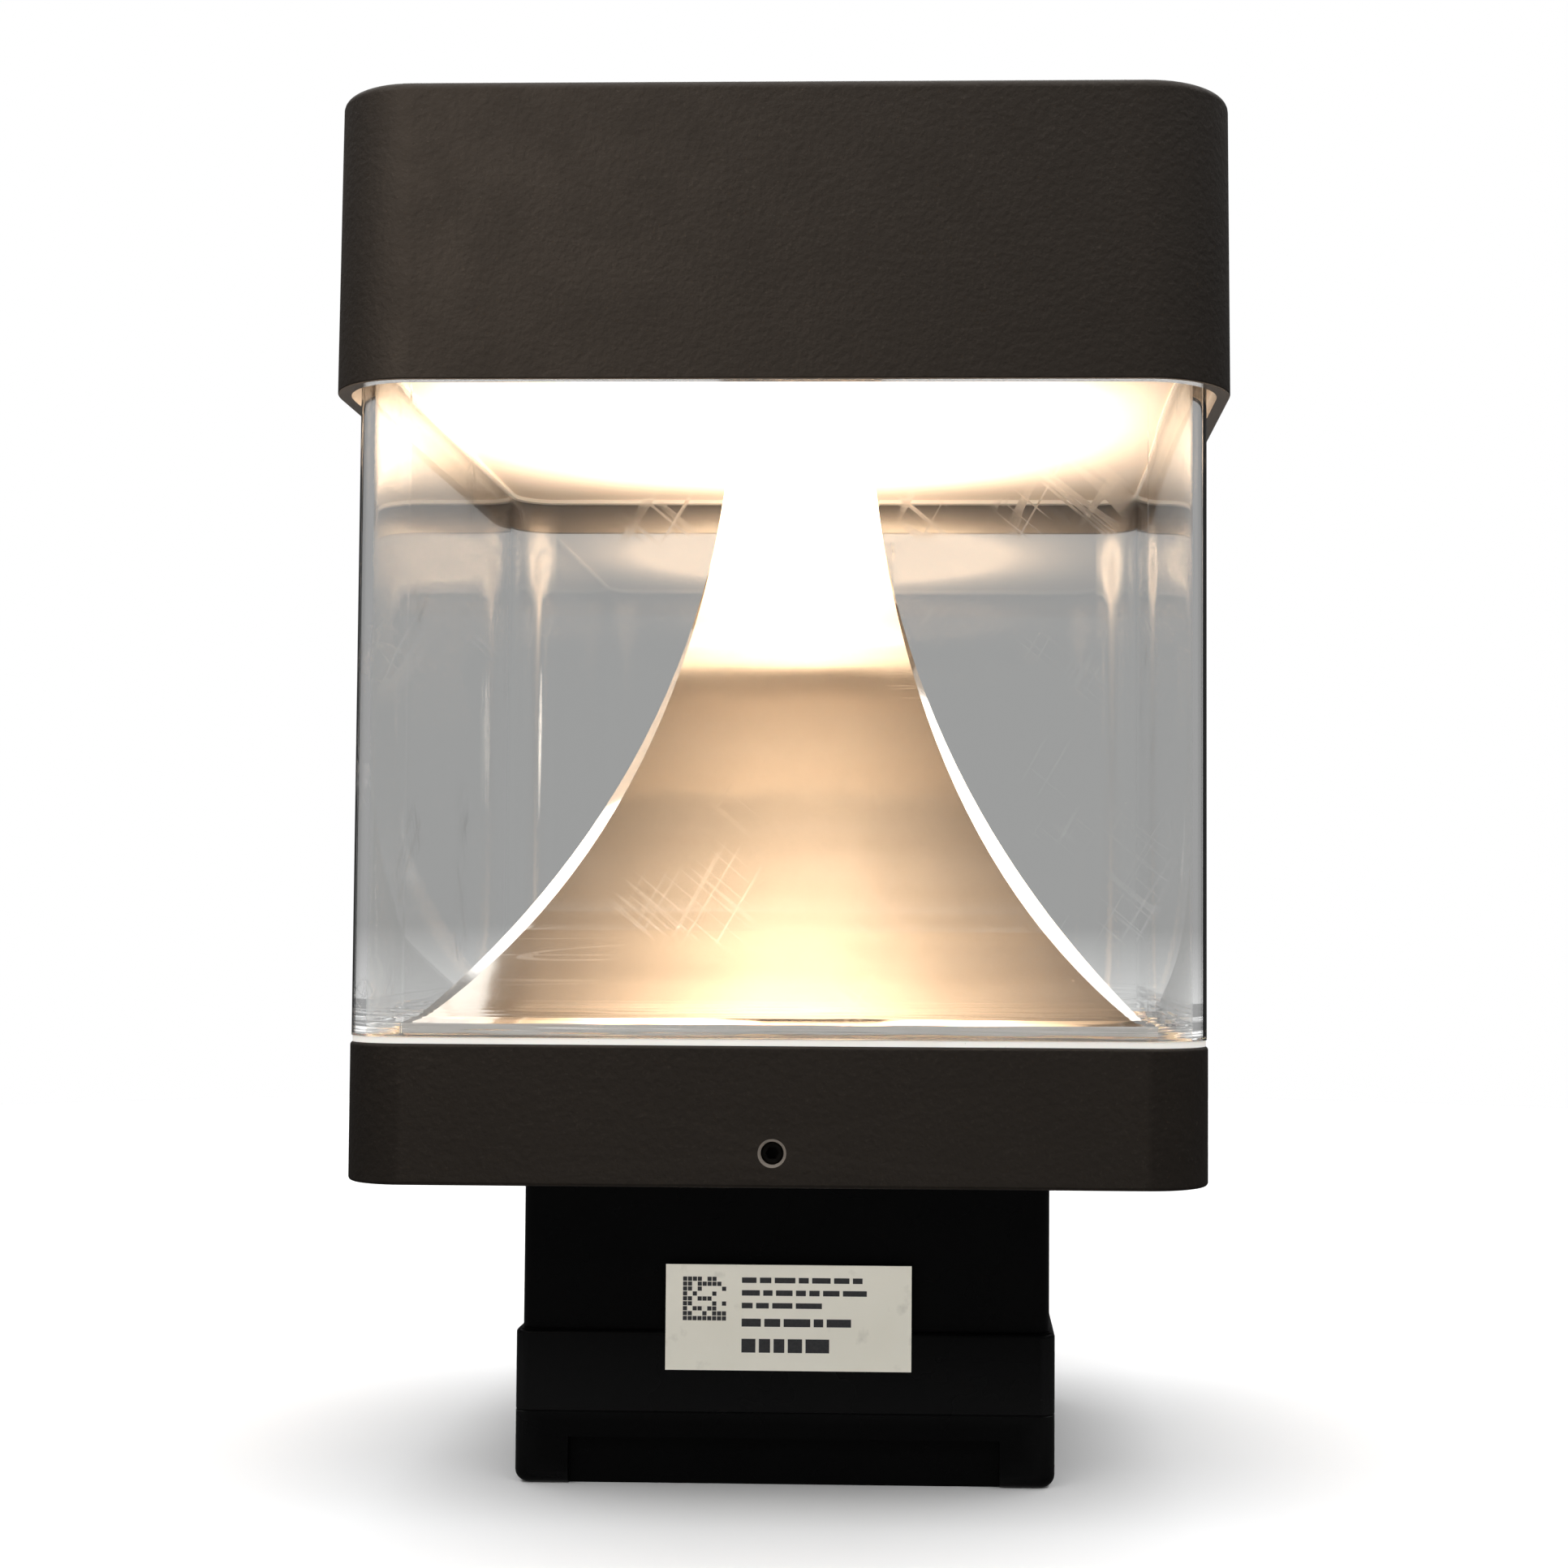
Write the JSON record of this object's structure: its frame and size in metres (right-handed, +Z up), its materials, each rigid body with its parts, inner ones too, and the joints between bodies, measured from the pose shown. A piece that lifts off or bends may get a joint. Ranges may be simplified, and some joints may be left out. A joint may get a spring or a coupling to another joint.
{
  "type": "bollard light",
  "caption": "Square bollard light head: dark cap with a downward lamp, clear lens, mirrored four-sided flare, collar for a post, and a driver case below.",
  "frame": {"origin": "centre of the driver case's underside", "axes": "+Z up, along the stem; -Y towards the front, the side of the rating label; +X to the right seen from the front"},
  "size_m": [0.2, 0.2, 0.3135],
  "materials": {
    "powder_coat": "fine textured powder coat, near-black bronze",
    "tray_metal": "cast, bare",
    "clear_lens": "clear polycarbonate, polished",
    "opal": "opal acrylic, lit from behind",
    "mirror_coat": "vacuum-metallised, mirror",
    "white_silicone": "smooth",
    "black_rubber": "smooth",
    "zinc_steel": "zinc plated",
    "black_steel": "black oxide",
    "case_plastic": "black, satin",
    "board_green": "solder mask",
    "board_white": "white solder mask on aluminium",
    "emitter": "phosphor",
    "ferrite": "sintered",
    "winding_tape": "polyester tape over copper",
    "capacitor_sleeve": "shrunk sleeve",
    "copper": "enamelled copper",
    "spreader_metal": "mill finish",
    "transistor_epoxy": "moulded epoxy",
    "white_nylon": "moulded",
    "lead_jacket": "silicone jacket",
    "label_film": "printed film",
    "selector_plastic": "moulded"
  },
  "bodies": {
    "head": {"top_cap": "powder_coat", "led_tray": "tray_metal", "tray_screws": "zinc_steel", "led_board": "board_white", "led_chips": "emitter", "led_board_screws": "zinc_steel", "diffuser": "opal", "lens": "clear_lens", "lens_base_seal": "white_silicone", "lens_top_seal": "white_silicone", "reflector": "mirror_coat", "reflector_screws": "zinc_steel", "stem_tube": "zinc_steel", "stem_nuts": "zinc_steel", "stem_washers": "zinc_steel", "led_lead": "lead_jacket", "lead_connector": "white_nylon", "collar": "powder_coat", "driver_bracket": "zinc_steel", "bracket_screws": "zinc_steel", "deck_screws": "zinc_steel", "deck_nuts": "zinc_steel", "driver_case": "case_plastic", "case_lid": "case_plastic", "lid_seal": "black_rubber", "lid_screws": "black_steel", "rating_label": "label_film", "inlet_grommet": "black_rubber", "outlet_grommet": "black_rubber", "driver_board": "board_green", "driver_board_screws": "zinc_steel", "transformer_core": "ferrite", "transformer_coil": "winding_tape", "capacitors": "capacitor_sleeve", "inlet_choke": "copper", "heat_spreader": "spreader_metal", "power_transistors": "transistor_epoxy", "terminal_block": "white_nylon", "switch_board": "board_green", "selector_switches": "transistor_epoxy"},
    "power_selector": {"power_selector": "selector_plastic"},
    "colour_selector": {"colour_selector": "selector_plastic"},
    "set_screw_front": {"set_screw_front": "black_steel"},
    "set_screw_right": {"set_screw_right": "black_steel"},
    "set_screw_back": {"set_screw_back": "black_steel"},
    "set_screw_left": {"set_screw_left": "black_steel"}
  },
  "joints": [
    {"name": "set_screw_front_travel", "type": "slide", "parent": "head", "child": "set_screw_front", "axis": [0, 1, 0], "range_m": [-0.0008, 0.005]},
    {"name": "set_screw_right_travel", "type": "slide", "parent": "head", "child": "set_screw_right", "axis": [-1, 0, 0], "range_m": [-0.0008, 0.005]},
    {"name": "set_screw_back_travel", "type": "slide", "parent": "head", "child": "set_screw_back", "axis": [0, -1, 0], "range_m": [-0.0008, 0.005]},
    {"name": "set_screw_left_travel", "type": "slide", "parent": "head", "child": "set_screw_left", "axis": [1, 0, 0], "range_m": [-0.0008, 0.005]},
    {"name": "power_selector_travel", "type": "slide", "parent": "head", "child": "power_selector", "axis": [1, 0, 0], "range_m": [-0.004, 0.004]},
    {"name": "colour_selector_travel", "type": "slide", "parent": "head", "child": "colour_selector", "axis": [1, 0, 0], "range_m": [-0.004, 0.004]}
  ]
}
